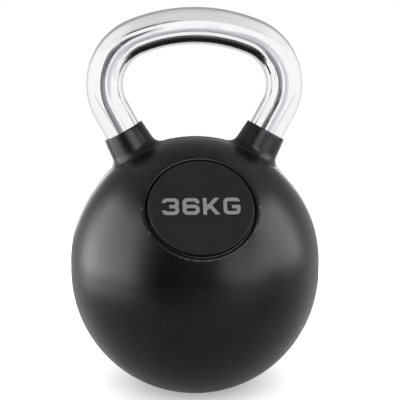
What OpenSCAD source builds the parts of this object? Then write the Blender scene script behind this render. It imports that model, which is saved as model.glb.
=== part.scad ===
// Rubber coated kettlebell with a bent steel handle, all sizes in millimetres.
// Z is up, the ball rests on the XY plane, the handle bar lies in the XZ plane, the badge faces -Y.

/* [Ball] */
// outside radius of the rubber ball
ball_r = 110; // [106:0.5:114]
// straight band between the two half balls
band_h = 8; // [6:0.5:10]
// radius of the flat the ball stands on
foot_r = 38; // [34:1:42]
// thickness of the rubber over the iron core
rubber_t = 9.8; // [9:0.1:12]
// thickness of the rubber under the flat
foot_t = 7; // [6:0.5:9]

/* [Handle] */
// diameter of the handle bar
bar_d = 31.6; // [30:0.1:33]
// overall width across the handle
grip_w = 188; // [184:1:194]
// tilt of each leg away from upright
leg_tilt = 28.5; // [27:0.5:30]
// bend radius of the two corners, on the bar's centre line
bend_r = 44; // [42:0.5:46]
// bend radius of the arched top, on the bar's centre line
crown_r = 137; // [125:1:150]
// depth of each leg below the surface of the iron core
leg_depth = 42; // [30:1:50]

/* [Collars] */
// distance of each collar's lip from the ball's surface
collar_h = 21.5; // [20:0.5:24]
// rubber wall around the leg at the lip
lip_t = 2.1; // [1.8:0.1:3]
// widening of the collar from the lip down
collar_taper = 5; // [4:0.5:7]
// blend radius between collar and ball
blend_r = 9; // [5:0.5:9]
// rounding of the lip
lip_round = 1.2; // [0.8:0.1:1.6]

/* [Badge] */
// tilt of the badge's face above level
badge_tilt = 37; // [34:1:40]
// radius of the badge
badge_r = 42.3; // [40:0.1:44]
// thickness of the badge
badge_t = 3; // [2.5:0.1:3.5]
// bevel around the badge's face
badge_bevel = 0.6; // [0.4:0.1:1]
// open groove around the badge
groove_w = 1.9; // [1.5:0.1:2.5]
// height of the badge's face above the lip of its well
badge_proud = 0.9; // [0.5:0.1:1.5]
// thickness of the adhesive pad
pad_t = 0.8; // [0.6:0.1:1.2]
// rubber left under the pad
well_floor_t = 2.6; // [2:0.1:3.2]

/* [Weight figures] */
// height of the figures
figure_h = 15; // [13:0.5:17]
// width of one figure
figure_w = 13.6; // [12:0.1:14]
// stroke width
stroke = 3; // [2.5:0.1:3.2]
// gap between neighbouring figures
figure_gap = 2.8; // [2.2:0.1:3.2]
// height the figures stand off the badge
figure_t = 0.5; // [0.4:0.1:0.8]

/* [Weld beads] */
// height of each bead along the leg
bead_h = 6; // [5:0.5:7]
// width of each bead out from the leg
bead_w = 6; // [5:0.5:7]

/* [Hidden] */
$fn = 72;
fit_gap = 0.3;                  // play between round faces of different pieces
over = 1;                       // cutters run this far past a face
bite = 0.05;                    // how far a blend sinks into the ball
bar_r = bar_d / 2;
low_z = sqrt(ball_r * ball_r - foot_r * foot_r);    // centre of the lower half ball
high_z = low_z + band_h;                            // centre of the upper half ball
core_r = ball_r - rubber_t;

half_w = grip_w / 2 - bar_r;                        // centre line at its widest
corner_x = half_w - bend_r;
crown_turn = asin(corner_x / (crown_r - bend_r));   // half of the arched top
corner_up = (corner_x * cos(leg_tilt) + bend_r) / sin(leg_tilt);
corner_turn = 90 + leg_tilt - crown_turn;
crown_up = corner_up - (crown_r - bend_r) * cos(crown_turn);
leg_top = corner_x * sin(leg_tilt) + corner_up * cos(leg_tilt);
leg_low = core_r - leg_depth;
end_bevel = 1.5;
swell = 0.1;                                        // each corner is this much fuller than the runs it joins
tuck = 1;                                           // each run reaches this far into the corner
crown_tuck = 180 / PI * tuck / crown_r;

lip_u = ball_r + collar_h;                          // measured up the leg from the ball's centre
lip_r = bar_r + lip_t;
bead_room = bar_r + bead_w + 2;                     // radius of the pocket around each bead
bead_seat = sqrt(pow(core_r, 2) - pow(bead_room, 2));

groove_r = badge_r + groove_w;
face_u = sqrt(pow(ball_r, 2) - pow(groove_r, 2)) + badge_proud;
well_u = face_u - badge_t - pad_t;
seat_u = well_u - well_floor_t;

// turned to stand on the axis of one leg, side is -1 left or 1 right
module on_leg(side) {
    translate([0, 0, high_z]) rotate([0, side * leg_tilt, 0]) children();
}

// turned so +Z runs out through the middle of the badge
module on_badge() {
    translate([0, 0, high_z]) rotate([90 - badge_tilt, 0, 0]) children();
}

// half outline of a ball with a straight band, r is its radius and floor_z the height of its flat
module ball_half(r, floor_z) {
    intersection() {
        union() {
            translate([0, low_z]) circle(r);
            translate([0, high_z]) circle(r);
            translate([0, low_z]) square([r, band_h]);
        }
        translate([0, floor_z]) square([r + over, 3 * ball_r]);
    }
}

module ball_body(r, floor_z) {
    rotate_extrude() ball_half(r, floor_z);
}

// half outline of a collar with its blend into the ball
side_out = [cos(collar_taper), sin(collar_taper)];
side_down = [sin(collar_taper), -cos(collar_taper)];
blend_from = [lip_r, lip_u] + blend_r * side_out;
blend_reach = ball_r - bite + blend_r;
blend_half = blend_from * side_down;
blend_s = -blend_half - sqrt(pow(blend_half, 2) - (blend_from * blend_from - pow(blend_reach, 2)));
blend_c = blend_from + blend_s * side_down;

module collar_half() {
    ball_touch = blend_c * (ball_r - bite) / blend_reach;
    side_touch = blend_c - blend_r * side_out;
    round_c = [lip_r - lip_round, lip_u - lip_round];
    difference() {
        polygon([[0, core_r], ball_touch, blend_c, side_touch, [lip_r, lip_u - lip_round],
                 round_c, [lip_r - lip_round, lip_u], [0, lip_u]]);
        translate(blend_c) circle(blend_r);
    }
    translate(round_c) circle(lip_round);
}

// counterbore for the weld bead and socket for the leg, both sides
module leg_sockets() {
    for (side = [-1, 1]) on_leg(side) {
        translate([0, 0, bead_seat]) cylinder(h = ball_r, r = bead_room);
        translate([0, 0, leg_low]) cylinder(h = ball_r, r = bar_r + fit_gap);
    }
}

module core_ball() {
    color("DimGray") difference() {
        ball_body(core_r, foot_t);
        leg_sockets();
        on_badge() translate([-ball_r, -ball_r, seat_u]) cube([2 * ball_r, 2 * ball_r, ball_r]);
    }
}

module leg(side) {
    on_leg(side) translate([0, 0, leg_low]) {
        cylinder(h = end_bevel, r1 = bar_r - end_bevel, r2 = bar_r);
        translate([0, 0, end_bevel]) cylinder(h = leg_top - leg_low - end_bevel + tuck, r = bar_r);
    }
}

// one bend of the bar in the XZ plane, from turn_from to turn_from + turn measured off straight up
module bend(radius, turn_from, turn, r) {
    rotate([90, 0, 0]) rotate([0, 0, 90 - turn_from - turn])
        rotate_extrude(angle = turn) translate([radius, 0]) circle(r);
}

module handle_bar() {
    color("Silver") {
        translate([corner_x, 0, high_z + corner_up])
            bend(bend_r, crown_turn, corner_turn, bar_r + swell);
        translate([-corner_x, 0, high_z + corner_up])
            bend(bend_r, -crown_turn - corner_turn, corner_turn, bar_r + swell);
        leg(-1);
        leg(1);
        translate([0, 0, high_z + crown_up])
            bend(crown_r, -crown_turn - crown_tuck, 2 * (crown_turn + crown_tuck), bar_r);
    }
}

module weld_bead(side) {
    inner = bar_r + fit_gap;
    color("SlateGray") on_leg(side) translate([0, 0, bead_seat]) rotate_extrude()
        intersection() {
            translate([inner, 0]) square([bead_w, bead_h]);
            translate([inner, 0]) circle(bead_w);
        }
}

module rubber_coat() {
    color("#202022") difference() {
        union() {
            ball_body(ball_r, 0);
            for (side = [-1, 1]) on_leg(side) rotate_extrude() collar_half();
        }
        difference() {
            ball_body(core_r + fit_gap, foot_t);
            on_badge() translate([-ball_r, -ball_r, seat_u])
                cube([2 * ball_r, 2 * ball_r, ball_r]);
        }
        for (side = [-1, 1]) on_leg(side) {
            cylinder(h = lip_u + over, r = bar_r + fit_gap);
            translate([0, 0, bead_seat]) cylinder(h = bead_h + fit_gap, r = bead_room);
        }
        on_badge() translate([0, 0, well_u]) cylinder(h = ball_r, r = groove_r);
    }
}

module badge_disc() {
    color("#2b2b2d") on_badge() translate([0, 0, well_u + pad_t]) {
        cylinder(h = badge_t - badge_bevel, r = badge_r);
        translate([0, 0, badge_t - badge_bevel])
            cylinder(h = badge_bevel, r1 = badge_r, r2 = badge_r - badge_bevel);
    }
}

module badge_pad() {
    color("Gainsboro") on_badge() translate([0, 0, well_u]) cylinder(h = pad_t, r = badge_r - 2);
}

// a box with four corners rounded, its lower left corner at the origin
module round_box(w, h, r) {
    union() {
        translate([r, 0]) square([w - 2 * r, h]);
        translate([0, r]) square([w, h - 2 * r]);
        for (x = [r, w - r], y = [r, h - r]) translate([x, y]) circle(r);
    }
}

figure_round = stroke * 1.35;
bar_mid = (figure_h - stroke) / 2;

// the ring both round figures share, w by h outside, one stroke thick
module ring_stroke(w, h) {
    difference() {
        round_box(w, h, figure_round);
        translate([stroke, stroke])
            round_box(w - 2 * stroke, h - 2 * stroke, figure_round - stroke * 0.9);
    }
}

module three() {
    lobe_h = (figure_h + stroke) / 2;
    difference() {
        for (y = [0, figure_h - lobe_h]) translate([0, y]) ring_stroke(figure_w, lobe_h);
        translate([-over, stroke * 1.35])
            square([figure_w * 0.42 + over, figure_h - stroke * 2.7]);
    }
}

module six() {
    lobe_h = (figure_h + stroke) / 2;
    ring_stroke(figure_w, lobe_h);
    difference() {
        ring_stroke(figure_w, figure_h);
        translate([stroke, -over]) square([figure_w, figure_h - stroke * 1.6 + over]);
    }
    translate([0, lobe_h / 2]) square([stroke, lobe_h / 2]);
    difference() {
        ring_stroke(figure_w, figure_h);
        translate([-over, -over]) square([figure_w + 2 * over, figure_h - figure_round + over]);
    }
}

// a slanted stroke from a to b on the centre line, cut level at both ends
module slant(a, b) {
    run = b[0] - a[0];
    rise = b[1] - a[1];
    wide = stroke * sqrt(run * run + rise * rise) / abs(rise) / 2;
    polygon([[a[0] - wide, a[1]], [a[0] + wide, a[1]], [b[0] + wide, b[1]], [b[0] - wide, b[1]]]);
}

module kay() {
    square([stroke, figure_h]);
    slant([stroke * 0.6, figure_h * 0.28], [figure_w - stroke * 0.75, figure_h]);
    slant([figure_w - stroke * 0.65, 0], [stroke * 1.6, figure_h * 0.62]);
}

module gee() {
    difference() {
        ring_stroke(figure_w, figure_h);
        translate([figure_w * 0.5, bar_mid + stroke]) square([figure_w, figure_h / 2 - stroke * 1.6]);
        translate([figure_w - stroke, bar_mid - over]) square([stroke + over, 2 * stroke]);
    }
    translate([figure_w * 0.5, bar_mid - stroke * 0.2]) square([figure_w * 0.5, stroke]);
    translate([figure_w - stroke, figure_round]) square([stroke, bar_mid - figure_round + stroke * 0.8]);
}

module weight_figures() {
    pitch = figure_w + figure_gap;
    row_w = 4 * figure_w + 3 * figure_gap;
    color("Silver") on_badge() translate([-row_w / 2, -figure_h / 2, face_u])
        linear_extrude(figure_t) {
            three();
            translate([pitch, 0]) six();
            translate([2 * pitch, 0]) kay();
            translate([3 * pitch, 0]) gee();
        }
}

core_ball();
handle_bar();
weld_bead(-1);  // weld_bead_left
weld_bead(1);  // weld_bead_right
rubber_coat();
badge_disc();
badge_pad();
weight_figures();
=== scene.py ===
import itertools
import math
import bmesh
import bpy
from mathutils import Matrix, Vector
from mathutils.geometry import delaunay_2d_cdt


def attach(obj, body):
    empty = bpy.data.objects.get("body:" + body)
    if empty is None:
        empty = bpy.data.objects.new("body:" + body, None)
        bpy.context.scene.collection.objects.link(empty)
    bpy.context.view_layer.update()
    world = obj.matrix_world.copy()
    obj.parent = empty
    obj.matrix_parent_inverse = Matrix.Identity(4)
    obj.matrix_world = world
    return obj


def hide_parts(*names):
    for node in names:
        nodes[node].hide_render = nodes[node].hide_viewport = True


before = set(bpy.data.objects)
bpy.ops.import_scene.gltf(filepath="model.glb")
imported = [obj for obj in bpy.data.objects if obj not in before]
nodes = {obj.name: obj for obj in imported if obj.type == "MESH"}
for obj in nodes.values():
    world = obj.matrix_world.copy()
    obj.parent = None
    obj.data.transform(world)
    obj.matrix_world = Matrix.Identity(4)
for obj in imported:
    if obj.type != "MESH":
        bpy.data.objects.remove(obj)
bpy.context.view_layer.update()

# the ball and its foot, metres
ball = {"radius": 0.110, "band": 0.008, "foot": 0.038, "footRound": 0.0022, "segments": 192, "spacing": 0.0031}
lowZ = math.sqrt(ball["radius"] ** 2 - ball["foot"] ** 2)
highZ = lowZ + ball["band"]  # centre of the upper half ball, both legs and the badge point at it

# the bent bar, degrees and metres
bar = {"tilt": 28.5, "radius": 0.0158, "bend": 0.044, "crown": 0.137, "width": 0.188,
       "inner end": 0.0584, "step": 0.0013, "sides": 72}


def legFrame(side):
    # local Z runs up the leg
    return Matrix.Translation((0, 0, highZ)) @ Matrix.Rotation(side * math.radians(bar["tilt"]), 4, "Y")


def badgeFrame(tilt):
    # local Z runs out through the middle of the badge
    return Matrix.Translation((0, 0, highZ)) @ Matrix.Rotation(math.radians(90 - tilt), 4, "X")


def arc(cx, cy, r, start, end, steps):
    # points on an arc in a flat profile, degrees
    out = []
    for i in range(steps + 1):
        a = math.radians(start + (end - start) * i / steps)
        out.append((cx + r * math.cos(a), cy + r * math.sin(a)))
    return out


def finishPiece(name, mesh, material, *stoodFor):
    obj = bpy.data.objects.new(name, mesh)
    bpy.context.scene.collection.objects.link(obj)
    mesh.materials.clear()
    mesh.materials.append(material)
    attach(obj, "root")
    if stoodFor:
        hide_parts(*stoodFor)
    return obj


# shader groups shared by the materials

def newGroup(name, inputs, outputs):
    tree = bpy.data.node_groups.new(name, "ShaderNodeTree")
    for label, kind, value in inputs:
        s = tree.interface.new_socket(label, in_out="INPUT", socket_type=kind)
        if value is not None:
            s.default_value = value
    for label, kind in outputs:
        tree.interface.new_socket(label, in_out="OUTPUT", socket_type=kind)
    return tree, tree.nodes.new("NodeGroupInput"), tree.nodes.new("NodeGroupOutput")


def add(tree, kind, wires=None, **values):
    # one node: wires are what its sockets get, links or plain values, and the rest are its own settings
    n = tree.nodes.new(kind)
    for k, v in values.items():
        if hasattr(n, k):
            setattr(n, k, v)
    for k, v in (wires or {}).items():
        sock = n.inputs[k]
        if isinstance(v, bpy.types.NodeSocket):
            tree.links.new(v, sock)
        else:
            sock.default_value = v
    return n


def calc(tree, operation, a, b=None, c=None, clamp=False):
    n = tree.nodes.new("ShaderNodeMath")
    n.operation = operation
    n.use_clamp = clamp
    for i, v in enumerate((a, b, c)):
        if v is None:
            continue
        if isinstance(v, bpy.types.NodeSocket):
            tree.links.new(v, n.inputs[i])
        else:
            n.inputs[i].default_value = v
    return n.outputs[0]


def spread(tree, value, low, high, toLow=0.0, toHigh=1.0):
    # smooth map of a value from one range to another
    n = add(tree, "ShaderNodeMapRange", {"Value": value, "From Min": low, "From Max": high,
                                         "To Min": toLow, "To Max": toHigh}, interpolation_type="SMOOTHSTEP")
    return n.outputs["Result"]


def between(tree, value, rising, falling):
    # 1 inside a range, with a soft start and a soft end
    return calc(tree, "MULTIPLY", spread(tree, value, *rising), spread(tree, value, *falling, 1.0, 0.0))


def mixColours(tree, factor, a, b):
    n = tree.nodes.new("ShaderNodeMix")
    n.data_type = "RGBA"
    for sock, v in ((n.inputs[0], factor), (n.inputs[6], a), (n.inputs[7], b)):
        if isinstance(v, bpy.types.NodeSocket):
            tree.links.new(v, sock)
        else:
            sock.default_value = v
    return n.outputs[2]


def noise(tree, vector, scale, detail=4.0, rough=0.5):
    return add(tree, "ShaderNodeTexNoise", {"Vector": vector, "Scale": scale, "Detail": detail,
                                            "Roughness": rough}).outputs["Fac"]


def pulled(tree, vector, amounts):
    # a vector stretched by a fixed amount or a wired one
    return add(tree, "ShaderNodeVectorMath", {0: vector, 1: amounts}, operation="MULTIPLY").outputs[0]


def makeMottle():
    # soft cloudy patches and a fine speckle, both 0 to 1
    tree, gi, go = newGroup("softMottle", [("Vector", "NodeSocketVector", None),
                                           ("Patch Scale", "NodeSocketFloat", 20.0),
                                           ("Speckle Scale", "NodeSocketFloat", 900.0)],
                            [("Patches", "NodeSocketFloat"), ("Speckle", "NodeSocketFloat")])
    big = noise(tree, gi.outputs["Vector"], gi.outputs["Patch Scale"], 5.0, 0.55)
    small = noise(tree, gi.outputs["Vector"], gi.outputs["Speckle Scale"], 2.0, 0.6)
    tree.links.new(spread(tree, big, 0.3, 0.7), go.inputs["Patches"])
    tree.links.new(spread(tree, small, 0.25, 0.75), go.inputs["Speckle"])
    return tree


def makeScratches():
    # thin broken lines along one axis of the vector, for handling marks and polishing lines
    tree, gi, go = newGroup("fineScratches", [("Vector", "NodeSocketVector", None),
                                              ("Stretch", "NodeSocketVector", (1.0, 1.0, 1.0)),
                                              ("Scale", "NodeSocketFloat", 100.0),
                                              ("Amount", "NodeSocketFloat", 0.5)],
                            [("Mask", "NodeSocketFloat"), ("Height", "NodeSocketFloat")])
    lines = noise(tree, pulled(tree, gi.outputs["Vector"], gi.outputs["Stretch"]), gi.outputs["Scale"], 3.0, 0.7)
    broken = noise(tree, gi.outputs["Vector"], 45.0, 2.0, 0.5)
    thin = spread(tree, calc(tree, "ABSOLUTE", calc(tree, "SUBTRACT", lines, 0.5)), 0.0, 0.03, 1.0, 0.0)
    here = spread(tree, broken, 0.5, 0.62)
    mask = calc(tree, "MULTIPLY", calc(tree, "MULTIPLY", thin, here), gi.outputs["Amount"], clamp=True)
    tree.links.new(mask, go.inputs["Mask"])
    tree.links.new(calc(tree, "MULTIPLY", mask, -1.0), go.inputs["Height"])
    return tree


def makeDust():
    # pale dust that settles on faces that look up
    tree, gi, go = newGroup("settledDust", [("Vector", "NodeSocketVector", None),
                                            ("Amount", "NodeSocketFloat", 0.3)],
                            [("Mask", "NodeSocketFloat")])
    normal = tree.nodes.new("ShaderNodeNewGeometry").outputs["Normal"]
    up = add(tree, "ShaderNodeSeparateXYZ", {0: normal}).outputs["Z"]
    facing = spread(tree, up, 0.25, 0.95)
    specks = spread(tree, noise(tree, gi.outputs["Vector"], 520.0, 3.0, 0.65), 0.58, 0.72)
    film = spread(tree, noise(tree, gi.outputs["Vector"], 26.0, 5.0, 0.6), 0.35, 0.75)
    both = calc(tree, "MULTIPLY_ADD", specks, 0.6, calc(tree, "MULTIPLY", film, 0.4))
    mask = calc(tree, "MULTIPLY", calc(tree, "MULTIPLY", facing, both), gi.outputs["Amount"], clamp=True)
    tree.links.new(mask, go.inputs["Mask"])
    return tree


mottleGroup, scratchGroup, dustGroup = makeMottle(), makeScratches(), makeDust()


def newMaterial(name):
    m = bpy.data.materials.new(name)
    m.use_nodes = True
    tree = m.node_tree
    tree.nodes.clear()
    out = tree.nodes.new("ShaderNodeOutputMaterial")
    bsdf = tree.nodes.new("ShaderNodeBsdfPrincipled")
    tree.links.new(bsdf.outputs[0], out.inputs[0])
    place = tree.nodes.new("ShaderNodeTexCoord").outputs["Object"]
    return m, tree, bsdf, place


def group(tree, source, **values):
    n = tree.nodes.new("ShaderNodeGroup")
    n.node_tree = source
    for k, v in values.items():
        sock = n.inputs[k.replace("_", " ")]
        if isinstance(v, bpy.types.NodeSocket):
            tree.links.new(v, sock)
        else:
            sock.default_value = v
    return n.outputs


def bump(tree, height, strength, distance, normal=None):
    n = add(tree, "ShaderNodeBump", {"Height": height, "Strength": strength, "Distance": distance})
    if normal is not None:
        tree.links.new(normal, n.inputs["Normal"])
    return n.outputs[0]


rubberLook = {"deep": (0.0018, 0.0018, 0.0024, 1), "pale": (0.0050, 0.0050, 0.0060, 1),
              "dust": (0.11, 0.107, 0.10, 1), "wear": (0.017, 0.017, 0.018, 1), "scuffed": (0.05, 0.05, 0.05, 1),
              "tint": (0.93, 0.925, 1.0, 1), "shine": 0.18, "smooth": 0.21, "dull": 0.31,
              "swell": 0.28, "grain": 0.34, "pores": 0.25, "dust amount": 0.035}


def rubberMaterial():
    m, tree, bsdf, place = newMaterial("satinRubber")
    bsdf.inputs["Specular IOR Level"].default_value = rubberLook["shine"]
    bsdf.inputs["Specular Tint"].default_value = rubberLook["tint"]
    cloud = group(tree, mottleGroup, Vector=place, Patch_Scale=17.0, Speckle_Scale=1500.0)
    scuffs = group(tree, scratchGroup, Vector=place, Stretch=(1.0, 0.35, 2.2), Scale=160.0, Amount=0.35)
    dust = group(tree, dustGroup, Vector=place, Amount=rubberLook["dust amount"])
    edge = add(tree, "ShaderNodeAttribute", attribute_name="edgeWear").outputs["Fac"]
    patchy = spread(tree, noise(tree, place, 300.0, 4.0, 0.6), 0.30, 0.80)
    rubbed = calc(tree, "MULTIPLY", edge, patchy, clamp=True)
    colour = mixColours(tree, cloud["Patches"], rubberLook["deep"], rubberLook["pale"])
    colour = mixColours(tree, calc(tree, "MULTIPLY", scuffs["Mask"], 0.10), colour, rubberLook["scuffed"])
    colour = mixColours(tree, calc(tree, "MULTIPLY", rubbed, 0.4), colour, rubberLook["wear"])
    colour = mixColours(tree, dust["Mask"], colour, rubberLook["dust"])
    tree.links.new(colour, bsdf.inputs["Base Color"])
    wider = rubberLook["dull"] - rubberLook["smooth"]
    rough = calc(tree, "MULTIPLY_ADD", cloud["Patches"], wider, rubberLook["smooth"])
    for mask, amount in ((scuffs["Mask"], 0.06), (rubbed, 0.06)):
        rough = calc(tree, "MULTIPLY_ADD", mask, amount, rough)
    rough = calc(tree, "MULTIPLY_ADD", dust["Mask"], 0.5, rough, clamp=True)
    tree.links.new(rough, bsdf.inputs["Roughness"])
    # a slow swell of the skin, fine grain, small pores and the scuffs
    normal = bump(tree, noise(tree, place, 24.0, 3.0, 0.5), rubberLook["swell"], 0.0012)
    pores = spread(tree, noise(tree, place, 620.0, 2.0, 0.5), 0.62, 0.74, 1.0, 0.0)
    normal = bump(tree, cloud["Speckle"], rubberLook["grain"], 0.00010, normal)
    normal = bump(tree, pores, rubberLook["pores"], 0.00010, normal)
    normal = bump(tree, scuffs["Height"], 0.15, 0.00006, normal)
    tree.links.new(normal, bsdf.inputs["Normal"])
    return m


chromeLook = {"bright": (0.935, 0.94, 0.95, 1), "film": (0.85, 0.855, 0.87, 1), "worn": (0.76, 0.77, 0.79, 1),
              "dust": (0.55, 0.55, 0.54, 1), "polish": 0.04, "smudge": 0.10, "marks": 0.16, "ripple": 0.07}


def chromeMaterial():
    m, tree, bsdf, place = newMaterial("polishedChrome")
    bsdf.inputs["Metallic"].default_value = 1.0
    # a vector that follows the bar, so the polishing lines run along it and round it
    run = add(tree, "ShaderNodeAttribute", attribute_name="barLength").outputs["Fac"]
    ring = add(tree, "ShaderNodeAttribute", attribute_name="barSection").outputs["Vector"]
    section = add(tree, "ShaderNodeSeparateXYZ", {0: ring}).outputs
    along = add(tree, "ShaderNodeCombineXYZ", {0: run, 1: section[0], 2: section[1]}).outputs[0]
    lines = group(tree, scratchGroup, Vector=along, Stretch=(0.06, 1.0, 1.0), Scale=900.0, Amount=0.8)
    hoops = group(tree, scratchGroup, Vector=along, Stretch=(1.0, 0.12, 0.12), Scale=700.0, Amount=0.6)
    marks = calc(tree, "ADD", lines["Mask"], hoops["Mask"], clamp=True)
    smudges = group(tree, mottleGroup, Vector=along, Patch_Scale=38.0, Speckle_Scale=1400.0)
    dust = group(tree, dustGroup, Vector=place, Amount=0.06)
    touch = calc(tree, "MULTIPLY", smudges["Patches"], smudges["Speckle"])
    colour = mixColours(tree, calc(tree, "MULTIPLY", touch, 0.5), chromeLook["bright"], chromeLook["film"])
    colour = mixColours(tree, calc(tree, "MULTIPLY", marks, 0.45), colour, chromeLook["worn"])
    colour = mixColours(tree, dust["Mask"], colour, chromeLook["dust"])
    tree.links.new(colour, bsdf.inputs["Base Color"])
    rough = calc(tree, "MULTIPLY_ADD", touch, chromeLook["smudge"], chromeLook["polish"])
    rough = calc(tree, "MULTIPLY_ADD", marks, chromeLook["marks"], rough)
    rough = calc(tree, "MULTIPLY_ADD", dust["Mask"], 0.4, rough, clamp=True)
    tree.links.new(rough, bsdf.inputs["Roughness"])
    ripple = noise(tree, pulled(tree, along, (0.35, 1.0, 1.0)), 60.0, 2.0, 0.4)
    normal = bump(tree, ripple, chromeLook["ripple"], 0.0006)
    normal = bump(tree, calc(tree, "ADD", lines["Height"], hoops["Height"]), 0.25, 0.00003, normal)
    tree.links.new(normal, bsdf.inputs["Normal"])
    return m


badgeLook = {"deep": (0.0036, 0.0036, 0.0043, 1), "pale": (0.0056, 0.0056, 0.0064, 1),
             "scuffed": (0.06, 0.06, 0.06, 1), "shine": 0.24, "rough": 0.5, "grain": 0.18}


def badgeMaterial():
    m, tree, bsdf, place = newMaterial("matteBadge")
    bsdf.inputs["Specular IOR Level"].default_value = badgeLook["shine"]
    bsdf.inputs["Specular Tint"].default_value = rubberLook["tint"]
    cloud = group(tree, mottleGroup, Vector=place, Patch_Scale=30.0, Speckle_Scale=2200.0)
    scuffs = group(tree, scratchGroup, Vector=place, Stretch=(0.3, 1.0, 1.0), Scale=160.0, Amount=0.5)
    colour = mixColours(tree, cloud["Patches"], badgeLook["deep"], badgeLook["pale"])
    colour = mixColours(tree, calc(tree, "MULTIPLY", scuffs["Mask"], 0.12), colour, badgeLook["scuffed"])
    tree.links.new(colour, bsdf.inputs["Base Color"])
    rough = calc(tree, "MULTIPLY_ADD", cloud["Patches"], 0.1, badgeLook["rough"])
    tree.links.new(calc(tree, "MULTIPLY_ADD", scuffs["Mask"], -0.12, rough), bsdf.inputs["Roughness"])
    normal = bump(tree, cloud["Speckle"], badgeLook["grain"], 0.00006)
    normal = bump(tree, scuffs["Height"], 0.1, 0.00004, normal)
    tree.links.new(normal, bsdf.inputs["Normal"])
    return m


figureLook = {"deep": (0.235, 0.235, 0.24, 1), "pale": (0.275, 0.275, 0.28, 1), "scuffed": (0.18, 0.18, 0.18, 1),
              "rough": 0.42, "metal": 0.15}


def figureMaterial():
    m, tree, bsdf, place = newMaterial("silverFigures")
    cloud = group(tree, mottleGroup, Vector=place, Patch_Scale=60.0, Speckle_Scale=2600.0)
    scuffs = group(tree, scratchGroup, Vector=place, Stretch=(1.0, 0.4, 1.0), Scale=300.0, Amount=0.35)
    colour = mixColours(tree, cloud["Patches"], figureLook["deep"], figureLook["pale"])
    colour = mixColours(tree, scuffs["Mask"], colour, figureLook["scuffed"])
    tree.links.new(colour, bsdf.inputs["Base Color"])
    rough = calc(tree, "MULTIPLY_ADD", cloud["Speckle"], 0.15, figureLook["rough"])
    tree.links.new(rough, bsdf.inputs["Roughness"])
    bsdf.inputs["Metallic"].default_value = figureLook["metal"]
    tree.links.new(bump(tree, cloud["Speckle"], 0.2, 0.00005), bsdf.inputs["Normal"])
    return m


# iron, weld and foam, all hidden inside: two colours, roughness, metallic, grain scale
hiddenLooks = {"castIron": ((0.05, 0.05, 0.055, 1), (0.11, 0.105, 0.1, 1), 0.6, 0.8, 600.0),
               "weldSteel": ((0.16, 0.15, 0.15, 1), (0.3, 0.27, 0.24, 1), 0.35, 1.0, 300.0),
               "padFoam": ((0.5, 0.5, 0.47, 1), (0.62, 0.62, 0.6, 1), 0.75, 0.0, 900.0)}


def hiddenMaterial(name):
    dark, light, rough, metallic, grain = hiddenLooks[name]
    m, tree, bsdf, place = newMaterial(name)
    cloud = group(tree, mottleGroup, Vector=place, Patch_Scale=40.0, Speckle_Scale=grain)
    tree.links.new(mixColours(tree, cloud["Patches"], dark, light), bsdf.inputs["Base Color"])
    tree.links.new(calc(tree, "MULTIPLY_ADD", cloud["Speckle"], 0.2, rough), bsdf.inputs["Roughness"])
    bsdf.inputs["Metallic"].default_value = metallic
    tree.links.new(bump(tree, cloud["Speckle"], 0.5, 0.0004), bsdf.inputs["Normal"])
    return m


rubber, chrome, badgePlastic, figureInk = rubberMaterial(), chromeMaterial(), badgeMaterial(), figureMaterial()
castIron, weldSteel, padFoam = (hiddenMaterial(name) for name in hiddenLooks)
for name, material in (("core_ball", castIron), ("weld_bead_left", weldSteel), ("weld_bead_right", weldSteel),
                       ("badge_pad", padFoam), ("weight_figures", figureInk)):
    nodes[name].data.materials.clear()
    nodes[name].data.materials.append(material)
print("materials ready")


# handle bar, swept along its path by geometry nodes

def barPath():
    # centre line in the XZ plane from the left leg's inner end to the right one's
    tilt = math.radians(bar["tilt"])
    cornerX = bar["width"] / 2 - bar["radius"] - bar["bend"]
    turn = math.asin(cornerX / (bar["crown"] - bar["bend"]))
    cornerZ = highZ + (cornerX * math.cos(tilt) + bar["bend"]) / math.sin(tilt)
    crownZ = cornerZ - (bar["crown"] - bar["bend"]) * math.cos(turn)
    points = []

    def sweep(cx, cz, r, a, b):
        steps = max(4, int(abs(b - a) * r / bar["step"]))
        for i in range(steps):
            t = a + (b - a) * i / steps
            points.append(Vector((cx + r * math.sin(t), 0, cz + r * math.cos(t))))

    legTop = Vector((cornerX + bar["bend"] * math.cos(tilt), 0, cornerZ - bar["bend"] * math.sin(tilt)))
    legEnd = Vector((math.sin(tilt), 0, math.cos(tilt))) * bar["inner end"] + Vector((0, 0, highZ))
    flip = Vector((-1, 1, 1))
    steps = int((legTop - legEnd).length / (2 * bar["step"]))
    leftLeg = [(legEnd.lerp(legTop, i / steps)) * flip for i in range(steps)]
    points.extend(leftLeg)
    sweep(-cornerX, cornerZ, bar["bend"], -math.pi / 2 - tilt, -turn)
    sweep(0, crownZ, bar["crown"], -turn, turn)
    sweep(cornerX, cornerZ, bar["bend"], turn, math.pi / 2 + tilt)
    points.append(legTop)
    points.extend(p * flip for p in reversed(leftLeg))
    return points


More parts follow.
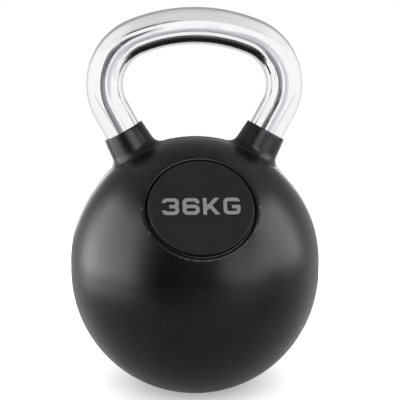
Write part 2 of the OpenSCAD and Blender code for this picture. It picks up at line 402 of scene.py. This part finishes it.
def barTree(material):
    tree = bpy.data.node_groups.new("bentBar", "GeometryNodeTree")
    tree.interface.new_socket("Geometry", in_out="INPUT", socket_type="NodeSocketGeometry")
    radius = tree.interface.new_socket("Bar Radius", in_out="INPUT", socket_type="NodeSocketFloat")
    sides = tree.interface.new_socket("Sides", in_out="INPUT", socket_type="NodeSocketInt")
    finish = tree.interface.new_socket("Finish", in_out="INPUT", socket_type="NodeSocketMaterial")
    tree.interface.new_socket("Geometry", in_out="OUTPUT", socket_type="NodeSocketGeometry")
    gi, go = tree.nodes.new("NodeGroupInput"), tree.nodes.new("NodeGroupOutput")
    rail = add(tree, "GeometryNodeMeshToCurve", {0: gi.outputs["Geometry"]}).outputs[0]
    where = tree.nodes.new("GeometryNodeSplineParameter")
    rail = add(tree, "GeometryNodeStoreNamedAttribute",
               {"Geometry": rail, "Name": "barLength", "Value": where.outputs["Length"]},
               data_type="FLOAT", domain="POINT").outputs[0]
    ring = add(tree, "GeometryNodeCurvePrimitiveCircle",
               {"Radius": gi.outputs["Bar Radius"], "Resolution": gi.outputs["Sides"]}).outputs[0]
    spot = tree.nodes.new("GeometryNodeInputPosition")
    keep = tree.nodes.new("GeometryNodeStoreNamedAttribute")
    keep.data_type, keep.domain = "FLOAT_VECTOR", "POINT"
    keep.inputs["Name"].default_value = "barSection"
    tree.links.new(ring, keep.inputs["Geometry"])
    tree.links.new(spot.outputs[0], keep.inputs["Value"])
    swept = add(tree, "GeometryNodeCurveToMesh",
                {"Curve": rail, "Profile Curve": keep.outputs[0], "Fill Caps": True}).outputs[0]
    smooth = add(tree, "GeometryNodeSetShadeSmooth", {0: swept}).outputs[0]
    real = add(tree, "GeometryNodeRealizeInstances", {0: smooth}).outputs[0]
    done = add(tree, "GeometryNodeSetMaterial", {"Geometry": real, "Material": gi.outputs["Finish"]}).outputs[0]
    tree.links.new(done, go.inputs[0])
    settings = {radius.identifier: bar["radius"], sides.identifier: bar["sides"], finish.identifier: material}
    return tree, settings


def makeHandle():
    points = barPath()
    rail = bpy.data.meshes.new("barRail")
    rail.from_pydata(points, [(i, i + 1) for i in range(len(points) - 1)], [])
    holder = bpy.data.objects.new("barHolder", rail)
    bpy.context.scene.collection.objects.link(holder)
    tree, settings = barTree(chrome)
    mod = holder.modifiers.new("bend", "NODES")
    mod.node_group = tree
    for key, value in settings.items():
        mod[key] = value
    holder.update_tag()
    dg = bpy.context.evaluated_depsgraph_get()
    bent = holder.evaluated_get(dg)
    mesh = bpy.data.meshes.new_from_object(bent, preserve_all_data_layers=True, depsgraph=dg)
    bpy.data.objects.remove(holder)
    bm = bmesh.new()
    bm.from_mesh(mesh)
    bmesh.ops.recalc_face_normals(bm, faces=bm.faces)
    bm.to_mesh(mesh)
    bm.free()
    return finishPiece("handleBar", mesh, chrome, "handle_bar")


handle = makeHandle()
print("handle bar:", len(handle.data.polygons), "faces")


# rubber coat, one closed skin with two collars, the badge's well and the parting line

collar = {"height": 0.0215, "wall": 0.0021, "taper": 5.0, "blend": 0.009, "lipRound": 0.0012, "segments": 96,
          "boreDepth": 0.026, "boreGap": 0.0002, "firstRing": 0.0014}
well = {"tilt": 37.0, "badge": 0.0423, "groove": 0.0019, "proud": 0.0009, "badgeThick": 0.003, "pad": 0.0008,
        "badgeRound": 0.0006, "lipRound": 0.0020, "segments": 144, "firstRing": 0.0016}
# parting line: a low strip of flash left by the mould, metres; it stands up as small ears at the collar rims
# and is trimmed away towards the sides, where "ends" is degrees from the top and "fade" the degrees it takes
seam = {"height": 0.00042, "flat": 0.0005, "half": 0.0011, "ends": 62.0, "fade": 20.0, "bore clear": 0.0012,
        "well clear": 0.0004, "rows": (0.0, 0.0003, 0.0006, 0.0009, 0.0012, 0.0016)}
# how far from each edge the rubber is rubbed, and where the well's lip is rubbed most, metres
rubbedReach = {"rim": 0.0024, "lip": 0.0020, "foot": 0.0045, "lip out": 0.0006, "lip ring": 0.0443}
# the ball's mesh about the collars and the well: how fast rings widen and how close points may come
ballMesh = {"growth": 1.35, "widest": 0.95, "ringGap": 0.6, "seamClear": 1.6, "seamGap": 0.0006, "row": 0.87,
            "cellGap": 0.4, "crowd": 0.62, "beyond": 0.7}


def flatMap(p):
    # from a point on the upper half ball to the flat disc the mesh is laid out on
    d = (p - Vector((0, 0, highZ))).normalized()
    return Vector((d.x / (1 + d.z), d.y / (1 + d.z)))


def collarProfile():
    # outline of one collar as (radius, height up the leg), from the ball to the bottom of the bore
    lipR, lipU = bar["radius"] + collar["wall"], ball["radius"] + collar["height"]
    t = math.radians(collar["taper"])
    out, down = Vector((math.cos(t), math.sin(t))), Vector((math.sin(t), -math.cos(t)))
    start = Vector((lipR, lipU)) + collar["blend"] * out
    reach = ball["radius"] + collar["blend"]
    half = start.dot(down)
    centre = start + (-half - math.sqrt(half * half - start.dot(start) + reach * reach)) * down
    onBall = centre * ball["radius"] / reach
    onSide = centre - collar["blend"] * out
    a0 = math.degrees(math.atan2(onBall.y - centre.y, onBall.x - centre.x)) % 360
    a1 = math.degrees(math.atan2(onSide.y - centre.y, onSide.x - centre.x)) % 360
    points = arc(centre.x, centre.y, collar["blend"], a0, a1, 10)
    r = collar["lipRound"]
    top = Vector((lipR, lipU - r))
    for i in range(1, 8):
        points.append(tuple(onSide.lerp(top, i / 8)))
    points += arc(lipR - r, lipU - r, r, 4, 90, 6)
    bore = bar["radius"] + collar["boreGap"]
    points += [(bore + 0.0003, lipU), (bore, lipU - 0.0003)]
    points += [(bore, lipU - collar["boreDepth"] * i / 6) for i in range(1, 7)]
    return points


def wellProfile():
    # outline of the badge's well as (radius, height along the badge's axis), from the ball inwards
    grooveR = well["badge"] + well["groove"]
    faceU = math.sqrt(ball["radius"] ** 2 - grooveR ** 2) + well["proud"]
    floorU = faceU - well["badgeThick"] - well["pad"]
    r = well["lipRound"]
    # the rounded lip touches the ball outside and the well's wall inside
    cx = grooveR + r
    cy = math.sqrt((ball["radius"] - r) ** 2 - cx ** 2)
    start = math.degrees(math.atan2(cy, cx))
    points = arc(cx, cy, r, start, 180, 8)
    points += [(grooveR, cy + (floorU - cy) * i / 4) for i in range(1, 5)]
    points += [(grooveR * k, floorU) for k in (0.97, 0.8, 0.5, 0.2)]
    return points


def rounds(count, extra=()):
    # evenly spaced angles, closer together about the extra ones
    angles = [2 * math.pi * i / count for i in range(count)]
    for mid in extra:
        angles = [a for a in angles if abs((a - mid + math.pi) % (2 * math.pi) - math.pi) > 0.1]
        steps = (0.017, 0.033, 0.047, 0.067, 0.09)
        angles += [(mid + k) % (2 * math.pi) for k in (0,) + steps + tuple(-k for k in steps)]
    return sorted(angles)


def raiseSeam(bm, legs):
    # lifts the parting line over the top and up both collars
    r, centre = ball["radius"], Vector((0, 0, highZ))
    for v in bm.verts:
        off, d = abs(v.co.y), v.co - centre
        local = min((leg @ v.co for leg in legs), key=lambda q: math.hypot(q.x, q.y))
        inBore = math.hypot(local.x, local.y) < bar["radius"] + seam["bore clear"] and local.z > r
        if off > seam["half"] * 1.001 or d.length < r - seam["well clear"] or inBore:
            continue
        fade = min(1.0, max(0.0, (seam["ends"] - math.degrees(math.atan2(abs(d.x), d.z))) / seam["fade"]))
        t = min(1.0, max(0.0, (seam["half"] - off) / (seam["half"] - seam["flat"])))
        v.co += v.normal * seam["height"] * t * t * (3 - 2 * t) * fade


def markWear(bm, legs):
    # stores how rubbed each point is: collar rims, the well's lip and the foot's edge
    r = ball["radius"]
    toBadge = badgeFrame(well["tilt"]).inverted()
    rimR, rimU = bar["radius"] + collar["wall"], r + collar["height"]
    lipR = well["badge"] + well["groove"] + rubbedReach["lip out"]
    lipU = math.sqrt(r * r - rubbedReach["lip ring"] ** 2)
    worn = bm.verts.layers.float.new("edgeWear")
    for v in bm.verts:
        rubbed = 0.0
        for leg in legs:
            q = leg @ v.co
            away = math.hypot(math.hypot(q.x, q.y) - rimR, q.z - rimU)
            rubbed = max(rubbed, 1.0 - away / rubbedReach["rim"])
        q = toBadge @ v.co
        away = math.hypot(math.hypot(q.x, q.y) - lipR, q.z - lipU)
        rubbed = max(rubbed, 1.0 - away / rubbedReach["lip"])
        away = math.hypot(math.hypot(v.co.x, v.co.y) - ball["foot"], v.co.z)
        v[worn] = max(0.0, rubbed, 1.0 - away / rubbedReach["foot"])


def makeCoat():
    bm = bmesh.new()
    points, loops = [], []
    r = ball["radius"]
    centre = Vector((0, 0, highZ))

    def circle(matrix, radius, height, angles):
        return [matrix @ Vector((radius * math.cos(a), radius * math.sin(a), height)) for a in angles]

    def patch(matrix, outline, angles):
        # rings of quads turned about the matrix's Z, with a fan to close the middle
        rings = [[bm.verts.new(p) for p in circle(matrix, x, u, angles)] for x, u in outline]
        n = len(angles)
        for a, b in zip(rings, rings[1:]):
            for i in range(n):
                bm.faces.new((a[i], a[(i + 1) % n], b[(i + 1) % n], b[i]))
        hub = bm.verts.new(matrix @ Vector((0, 0, outline[-1][1])))
        for i in range(n):
            bm.faces.new((rings[-1][i], rings[-1][(i + 1) % n], hub))

    features = []
    collarAngles = rounds(collar["segments"], (0, math.pi))
    outline = collarProfile()
    for side in (-1, 1):
        m = legFrame(side)
        patch(m, outline, collarAngles)
        features.append((m, outline[0][0], collarAngles, collar["firstRing"]))
    m = badgeFrame(well["tilt"])
    wellAngles = rounds(well["segments"])
    patch(m, wellProfile(), wellAngles)
    features.append((m, wellProfile()[0][0], wellAngles, well["firstRing"]))

    # edge of the upper half ball
    edge = circle(Matrix.Translation((0, 0, highZ)), r, 0, rounds(ball["segments"]))
    loops.append(edge)
    for m, ringR, angles, step in features:
        loops.append(circle(m, ringR, math.sqrt(r * r - ringR * ringR), angles))
    for loop in loops:
        points.extend(loop)
    edges, first = [], 0
    for loop in loops:
        n = len(loop)
        edges += [(first + i, first + (i + 1) % n) for i in range(n)]
        first += n

    def openSpace(p, gap):
        # true where a point is clear of every feature by the gap
        d = (p - centre).normalized()
        for m, ringR, angles, step in features:
            axis = (m.to_3x3() @ Vector((0, 0, 1))).normalized()
            if d.angle(axis) * r < math.asin(ringR / r) * r + gap:
                return False
        return p.z > highZ + gap * ballMesh["beyond"]

    # finer rings round each feature, wider and wider apart
    for m, ringR, angles, step in features:
        reach, gap = math.asin(ringR / r), step
        out = 0.0
        turned = 0
        while gap < ball["spacing"] * ballMesh["widest"]:
            out += gap
            a = reach + out / r
            turned = 1 - turned
            count = int(2 * math.pi * r * math.sin(a) / gap)
            angs = [2 * math.pi * (i + 0.5 * turned) / count for i in range(count)]
            for p in circle(m, r * math.sin(a), r * math.cos(a), angs):
                if openSpace(p, gap * ballMesh["ringGap"]) and abs(p.y) > seam["half"] * ballMesh["seamClear"]:
                    points.append(p)
            gap *= ballMesh["growth"]
    # rows that carry the parting line
    count = int(math.pi * r / seam["rows"][-1])
    rowsEachWay = [-y for y in reversed(seam["rows"][1:])] + list(seam["rows"])
    for y in rowsEachWay:
        for i in range(1, count):
            a = -math.pi / 2 + math.pi * i / count
            slim = math.sqrt(r * r - y * y)
            p = centre + Vector((math.sin(a) * slim, y, math.cos(a) * slim))
            if openSpace(p, ballMesh["seamGap"]):
                points.append(p)
    # everything else, on spaced rings about the top
    taken = {}
    cell = ball["spacing"]

    def key(p):
        return (int(p.x // cell), int(p.y // cell), int(p.z // cell))

    for p in points:
        taken.setdefault(key(p), []).append(p)

    def crowded(p, gap):
        kx, ky, kz = key(p)
        for i, j, k in itertools.product((-1, 0, 1), repeat=3):
            if any((p - q).length < gap for q in taken.get((kx + i, ky + j, kz + k), ())):
                return True
        return False

    rows = int(r * math.pi / 2 / (cell * ballMesh["row"]))
    for j in range(1, rows):
        a = math.pi / 2 * j / rows
        count = max(6, int(2 * math.pi * r * math.sin(a) / cell))
        for i in range(count):
            t = 2 * math.pi * (i + 0.5 * (j % 2)) / count
            p = centre + Vector((math.sin(a) * math.cos(t), math.sin(a) * math.sin(t), math.cos(a))) * r
            if openSpace(p, cell * ballMesh["cellGap"]) and not crowded(p, cell * ballMesh["crowd"]):
                points.append(p)
                taken.setdefault(key(p), []).append(p)

    flat = [flatMap(p) for p in points]
    _, _, faces, origin, _, _ = delaunay_2d_cdt(flat, edges, [], 0, 1e-7)
    verts = [bm.verts.new(points[o[0]]) for o in origin]
    for face in faces:
        mid = sum((points[origin[i][0]] for i in face), Vector()) / len(face)
        d = (mid - centre).normalized()
        inside = any(d.angle((m.to_3x3() @ Vector((0, 0, 1))).normalized()) < math.asin(ringR / r) * 0.998
                     for m, ringR, angles, step in features)
        if not inside:
            bm.faces.new([verts[i] for i in face])

    # straight band, lower half ball and foot, all one turned patch
    fr = ball["footRound"]
    footCx = math.sqrt((r - fr) ** 2 - (lowZ - fr) ** 2)
    touch = math.degrees(math.atan2(fr - lowZ, footCx))
    outline = [(r, highZ), (r, (highZ + lowZ) / 2), (r, lowZ)]
    outline += arc(0, lowZ, r, 0, touch, 46)[1:]
    outline += arc(footCx, fr, fr, touch, -90, 6)[1:]
    outline += [(footCx * k, 0) for k in (0.93, 0.7, 0.4, 0.15)]
    patch(Matrix.Identity(4), outline, rounds(ball["segments"]))

    bmesh.ops.remove_doubles(bm, verts=bm.verts, dist=2e-6)
    bmesh.ops.recalc_face_normals(bm, faces=bm.faces)

    legs = [legFrame(side).inverted() for side in (-1, 1)]
    raiseSeam(bm, legs)
    markWear(bm, legs)
    mesh = bpy.data.meshes.new("rubberCoat")
    bm.to_mesh(mesh)
    openEdges = sum(1 for e in bm.edges if len(e.link_faces) != 2)
    bm.free()
    mesh.shade_smooth()
    print("rubber coat:", len(mesh.polygons), "faces,", openEdges, "open edges")
    return finishPiece("rubberCoat", mesh, rubber, "rubber_coat")


coat = makeCoat()


# badge disc

def makeBadge():
    grooveR = well["badge"] + well["groove"]
    faceU = math.sqrt(ball["radius"] ** 2 - grooveR ** 2) + well["proud"]
    lowU = faceU - well["badgeThick"]
    rim, b = well["badge"], well["badgeRound"]
    outline = [(0.02, faceU), (0.036, faceU), (rim - b - 0.0004, faceU)]
    outline += arc(rim - b, faceU - b, b, 90, 0, 6)
    outline += [(rim, lowU + 0.0012), (rim, lowU + 0.0002), (rim - 0.0002, lowU), (0.03, lowU)]
    angles = rounds(well["segments"])
    m = badgeFrame(well["tilt"])
    bm = bmesh.new()
    rings = [[bm.verts.new(m @ Vector((x * math.cos(a), x * math.sin(a), u))) for a in angles]
             for x, u in outline]
    n = len(angles)
    for p, q in zip(rings, rings[1:]):
        for i in range(n):
            bm.faces.new((p[i], p[(i + 1) % n], q[(i + 1) % n], q[i]))
    for ring, u in ((rings[0], faceU), (rings[-1], lowU)):
        hub = bm.verts.new(m @ Vector((0, 0, u)))
        for i in range(n):
            bm.faces.new((ring[i], ring[(i + 1) % n], hub))
    bmesh.ops.recalc_face_normals(bm, faces=bm.faces)
    mesh = bpy.data.meshes.new("badgeDisc")
    bm.to_mesh(mesh)
    bm.free()
    mesh.shade_smooth()
    return finishPiece("badgeDisc", mesh, badgePlastic, "badge_disc")


badge = makeBadge()
print("badge disc ready")


# pale floor, a white dome with a dim ceiling, one dark card in front, soft boxes that only the black parts see
studio = {"floor": 0.88, "floor in reflections": 0.475, "floor radius": 1.6, "front band": 0.5, "walls": 1.0,
          "ceiling": 0.70, "ceiling ends": 0.93, "ceiling far back": 0.86, "streaks": (0.90, 1.08), "rail": 0.10,
          "behind": 0.38, "low behind": 0.7, "fill": 4.2, "fill angle": 120.0}
# where the dome changes, degrees of rise and of turn, and where the floor does, metres
edges = {"ceiling": (26.5, 31.0), "rail rise": ((27.0, 28.5), (33.0, 41.0)),
         "rail turn": ((-30.0, -15.0), (-7.0, 4.0)), "bay sides": (112.0, 145.0), "bay low": (10.0, 18.0),
         "bay top": (50.0, 66.0), "floor front": ((-0.64, -0.58), (-0.54, -0.48))}
# the card stands in front: dark at its left end, light at its right, high on the left, low in the middle
card = {"away": 0.39, "left": -35.0, "right": 32.0, "height": 0.45, "high": 0.40, "low": 0.22, "right lift": 0.07,
        "drop": (-16.0, -2.0), "lift": (5.0, 13.0), "soft": 0.03, "dark": 0.14, "light": 0.84,
        "pale": 0.88, "pale turn": ((-8.0, -3.0), (3.0, 8.0)), "pale height": (0.145, 0.19),
        "foot": 0.66, "foot height": (0.05, 0.10), "tint": (0.93, 0.95, 1.0, 1),
        "patch": 0.08, "patch turn": ((-26.0, -17.0), (-7.0, -1.5)), "patch height": ((0.25, 0.29), (0.35, 0.39))}
# middle, width, height, radiance at the bottom and at the top
boxes = {"leftBox": ((-0.39, -0.06, 0.235), 0.54, 0.47, 7.9, 5.4),
         "rightBox": ((0.48, -0.13, 0.31), 0.47, 0.50, 5.4, 6.6),
         "frontBox": ((0.200, -0.30, 0.145), 0.27, 0.19, 4.1, 3.8),
         "upperBox": ((0.07, -0.350, 0.365), 0.38, 0.20, 7.0, 8.5),
         "backBox": ((0.0, 0.9, 0.155), 1.0, 0.30, 4.2, 4.2)}
rimBoxes = ("upperBox", "backBox")  # for the coat's rims only, not for the flat badge
boxFade = {"from": 0.34, "to": 0.5, "edge": 0.15}  # how a box fades out towards its four edges


def shineOn(light, pieces):
    # the light reaches these pieces and nothing else
    chosen = bpy.data.collections.new(light.name + "Pieces")
    for piece in pieces:
        chosen.objects.link(piece)
    light.light_linking.receiver_collection = chosen


def turnOf(tree, x, y):
    # degrees round the object, 0 straight in front, plus to the right
    return calc(tree, "MULTIPLY", calc(tree, "ARCTAN2", x, calc(tree, "MULTIPLY", y, -1.0)), 180 / math.pi)


def makeFloor():
    bm = bmesh.new()
    bmesh.ops.create_circle(bm, cap_ends=True, segments=96, radius=studio["floor radius"])
    mesh = bpy.data.meshes.new("floor")
    bm.to_mesh(mesh)
    bm.free()
    obj = bpy.data.objects.new("floor", mesh)
    bpy.context.scene.collection.objects.link(obj)
    m, tree, bsdf, place = newMaterial("paleFloor")
    cloud = group(tree, mottleGroup, Vector=place, Patch_Scale=6.0, Speckle_Scale=700.0)
    seen = tree.nodes.new("ShaderNodeLightPath").outputs["Is Camera Ray"]
    # in reflections the floor's colour is painted darker far behind the object and in a strip in front of it,
    # painted shade that the camera never sees
    x, y, z = add(tree, "ShaderNodeSeparateXYZ", {0: place}).outputs
    band = between(tree, y, *edges["floor front"])
    away = calc(tree, "ABSOLUTE", turnOf(tree, x, y))
    shown = studio["floor in reflections"]
    level = calc(tree, "MULTIPLY", spread(tree, away, *edges["bay sides"], shown, shown * studio["low behind"]),
                 calc(tree, "MULTIPLY_ADD", band, -studio["front band"], 1.0))
    level = calc(tree, "MULTIPLY_ADD", seen, calc(tree, "SUBTRACT", studio["floor"], level), level)
    level = calc(tree, "MULTIPLY", level, calc(tree, "MULTIPLY_ADD", cloud["Patches"], 0.015, 0.985))
    grey = add(tree, "ShaderNodeCombineColor", {0: level, 1: level, 2: level}).outputs[0]
    tree.links.new(grey, bsdf.inputs["Base Color"])
    bsdf.inputs["Roughness"].default_value = 0.8
    bsdf.inputs["Specular IOR Level"].default_value = 0.1
    mesh.materials.append(m)
    return obj


def makeDome():
    world = bpy.data.worlds.new("studioDome")
    bpy.context.scene.world = world
    world.use_nodes = True
    tree = world.node_tree
    tree.nodes.clear()
    out = tree.nodes.new("ShaderNodeOutputWorld")
    back = tree.nodes.new("ShaderNodeBackground")
    back.inputs["Color"].default_value = (1, 1, 1, 1)
    tree.links.new(back.outputs[0], out.inputs[0])
    sky = tree.nodes.new("ShaderNodeTexCoord").outputs["Generated"]
    x, y, z = add(tree, "ShaderNodeSeparateXYZ", {0: sky}).outputs
    turn = turnOf(tree, x, y)
    rise = calc(tree, "MULTIPLY", calc(tree, "ARCSINE", z), 180 / math.pi)
    # the ceiling is dimmest along its middle and towards the back, with soft streaks from side to side
    farBack = studio["ceiling"] * studio["ceiling far back"]
    ceiling = spread(tree, y, -0.3, 0.5, studio["ceiling"], farBack)
    ceiling = spread(tree, calc(tree, "ABSOLUTE", x), 0.12, 0.72, ceiling, studio["ceiling ends"])
    streaks = noise(tree, pulled(tree, sky, (1.2, 8.0, 8.0)), 2.2, 3.0, 0.55)
    ceiling = calc(tree, "MULTIPLY", ceiling, spread(tree, streaks, 0.3, 0.7, *studio["streaks"]))
    dome = spread(tree, rise, *edges["ceiling"], studio["walls"], ceiling)
    # thin dark rail where wall and ceiling meet, left of the middle
    rail = calc(tree, "MULTIPLY", between(tree, rise, *edges["rail rise"]),
                between(tree, turn, *edges["rail turn"]))
    dome = calc(tree, "MULTIPLY_ADD", rail, calc(tree, "SUBTRACT", studio["rail"], dome), dome)
    # a darker bay behind the object, deepest over the horizon
    away = calc(tree, "ABSOLUTE", turn)
    bay = calc(tree, "MULTIPLY", spread(tree, rise, *edges["bay top"], 1.0, 0.0),
               spread(tree, away, *edges["bay sides"]))
    level = spread(tree, rise, *edges["bay low"], studio["low behind"], studio["behind"])
    value = calc(tree, "MULTIPLY_ADD", bay, calc(tree, "SUBTRACT", level, dome), dome)
    # straight looks past the object always meet plain white
    seen = tree.nodes.new("ShaderNodeLightPath").outputs["Is Camera Ray"]
    value = calc(tree, "MULTIPLY_ADD", seen, calc(tree, "SUBTRACT", 1.0, value), value)
    tree.links.new(value, back.inputs["Strength"])


def makeCard():
    # only reflections meet it
    steps = 48
    bm = bmesh.new()
    rows = []
    for i in range(steps + 1):
        a = math.radians(card["left"] + (card["right"] - card["left"]) * i / steps)
        x, y = card["away"] * math.sin(a), -card["away"] * math.cos(a)
        rows.append([bm.verts.new((x, y, z)) for z in (0.0005, card["height"])])
    for p, q in zip(rows, rows[1:]):
        bm.faces.new((p[0], q[0], q[1], p[1]))
    mesh = bpy.data.meshes.new("darkCard")
    bm.to_mesh(mesh)
    bm.free()
    obj = bpy.data.objects.new("darkCard", mesh)
    bpy.context.scene.collection.objects.link(obj)
    m = bpy.data.materials.new("cardGlow")
    m.use_nodes = True
    tree = m.node_tree
    tree.nodes.clear()
    place = tree.nodes.new("ShaderNodeTexCoord").outputs["Object"]
    x, y, z = add(tree, "ShaderNodeSeparateXYZ", {0: place}).outputs
    turn = turnOf(tree, x, y)
    level = add(tree, "ShaderNodeMapRange", {"Value": turn, "From Min": card["left"], "From Max": card["right"],
                                             "To Min": card["dark"], "To Max": card["light"]}).outputs["Result"]
    # paler high up in the middle and deeper along its foot: a bright band over a thin grey line on the bar
    pale = calc(tree, "MULTIPLY", between(tree, turn, *card["pale turn"]), spread(tree, z, *card["pale height"]))
    level = calc(tree, "MULTIPLY_ADD", pale, calc(tree, "SUBTRACT", card["pale"], level), level)
    level = calc(tree, "MULTIPLY", level, spread(tree, z, *card["foot height"], card["foot"], 1.0))
    top = calc(tree, "ADD", spread(tree, turn, *card["drop"], card["high"], card["low"]),
               spread(tree, turn, *card["lift"], 0.0, card["right lift"]))
    solid = spread(tree, calc(tree, "SUBTRACT", z, top), -card["soft"], card["soft"], 1.0, 0.0)
    # a dark patch at the handle's height, just left of the middle
    patch = calc(tree, "MULTIPLY", between(tree, turn, *card["patch turn"]),
                 between(tree, z, *card["patch height"]))
    level = calc(tree, "MULTIPLY_ADD", patch, calc(tree, "SUBTRACT", card["patch"], level), level)
    solid = calc(tree, "MAXIMUM", solid, patch)
    glow = add(tree, "ShaderNodeEmission", {"Strength": level, "Color": card["tint"]})
    clear = tree.nodes.new("ShaderNodeBsdfTransparent")
    both = add(tree, "ShaderNodeMixShader", {0: solid, 1: clear.outputs[0], 2: glow.outputs[0]})
    tree.links.new(both.outputs[0], tree.nodes.new("ShaderNodeOutputMaterial").inputs[0])
    mesh.materials.append(m)
    obj.visible_camera = obj.visible_diffuse = obj.visible_shadow = False


def softBox(name, place, width, height, bottom, top):
    data = bpy.data.lights.new(name, "AREA")
    data.shape, data.size, data.size_y = "RECTANGLE", width, height
    data.energy = math.pi * width * height
    data.use_nodes = True
    tree = data.node_tree
    glow = next(n for n in tree.nodes if n.type == "EMISSION")
    geometry = tree.nodes.new("ShaderNodeNewGeometry").outputs
    spot = add(tree, "ShaderNodeSeparateXYZ", {0: geometry["Position"]}).outputs
    level = spread(tree, spot["Z"], place[2] - height / 2, place[2] + height / 2, bottom, top)
    across = add(tree, "ShaderNodeSeparateXYZ", {0: geometry["Parametric"]}).outputs
    for side in ("X", "Y"):
        middle = calc(tree, "ABSOLUTE", calc(tree, "SUBTRACT", across[side], 0.5))
        fade = spread(tree, middle, boxFade["from"], boxFade["to"], 1.0, boxFade["edge"])
        level = calc(tree, "MULTIPLY", level, fade)
    tree.links.new(level, glow.inputs["Strength"])
    obj = bpy.data.objects.new(name, data)
    bpy.context.scene.collection.objects.link(obj)
    obj.location = place
    aim = Vector((0, place[1] * 0.2, place[2]))
    obj.rotation_euler = (aim - Vector(place)).to_track_quat("-Z", "Y").to_euler()
    obj.visible_diffuse = obj.visible_camera = False
    shineOn(obj, (coat,) if name in rimBoxes else (coat, badge, nodes["weight_figures"]))


def fillLight(floor):
    # lifts the floor to white and casts no shadow; the dome still leaves a faint one about the foot
    data = bpy.data.lights.new("overheadFill", "SUN")
    data.energy, data.angle, data.use_shadow = studio["fill"], math.radians(studio["fill angle"]), False
    obj = bpy.data.objects.new("overheadFill", data)
    bpy.context.scene.collection.objects.link(obj)
    shineOn(obj, (floor,))


floor = makeFloor()
makeDome()
makeCard()
for name, values in boxes.items():
    softBox(name, *values)
fillLight(floor)
print("studio ready")

# camera: long lens, a little above the handle and a few degrees to the left
shot = {"turn": -3.9, "rise": 9.0, "distance": 0.837, "target": (0.0045, 0.0, 0.1648),
        "lens": 84.96, "sensor": 36.0}
camData = bpy.data.cameras.new("camera")
camera = bpy.data.objects.new("camera", camData)
bpy.context.scene.collection.objects.link(camera)
camData.sensor_width = shot["sensor"]
camData.lens = shot["lens"]
camData.clip_start, camData.clip_end = 0.05, 60.0
turn, rise = math.radians(shot["turn"]), math.radians(shot["rise"])
away = Vector((math.sin(turn) * math.cos(rise), -math.cos(turn) * math.cos(rise), math.sin(rise)))
camera.location = Vector(shot["target"]) + away * shot["distance"]
camera.rotation_euler = (-away).to_track_quat("-Z", "Y").to_euler()
bpy.context.scene.camera = camera
bpy.context.scene.view_settings.view_transform = "Standard"
print("camera ready")

bpy.context.view_layer.update()
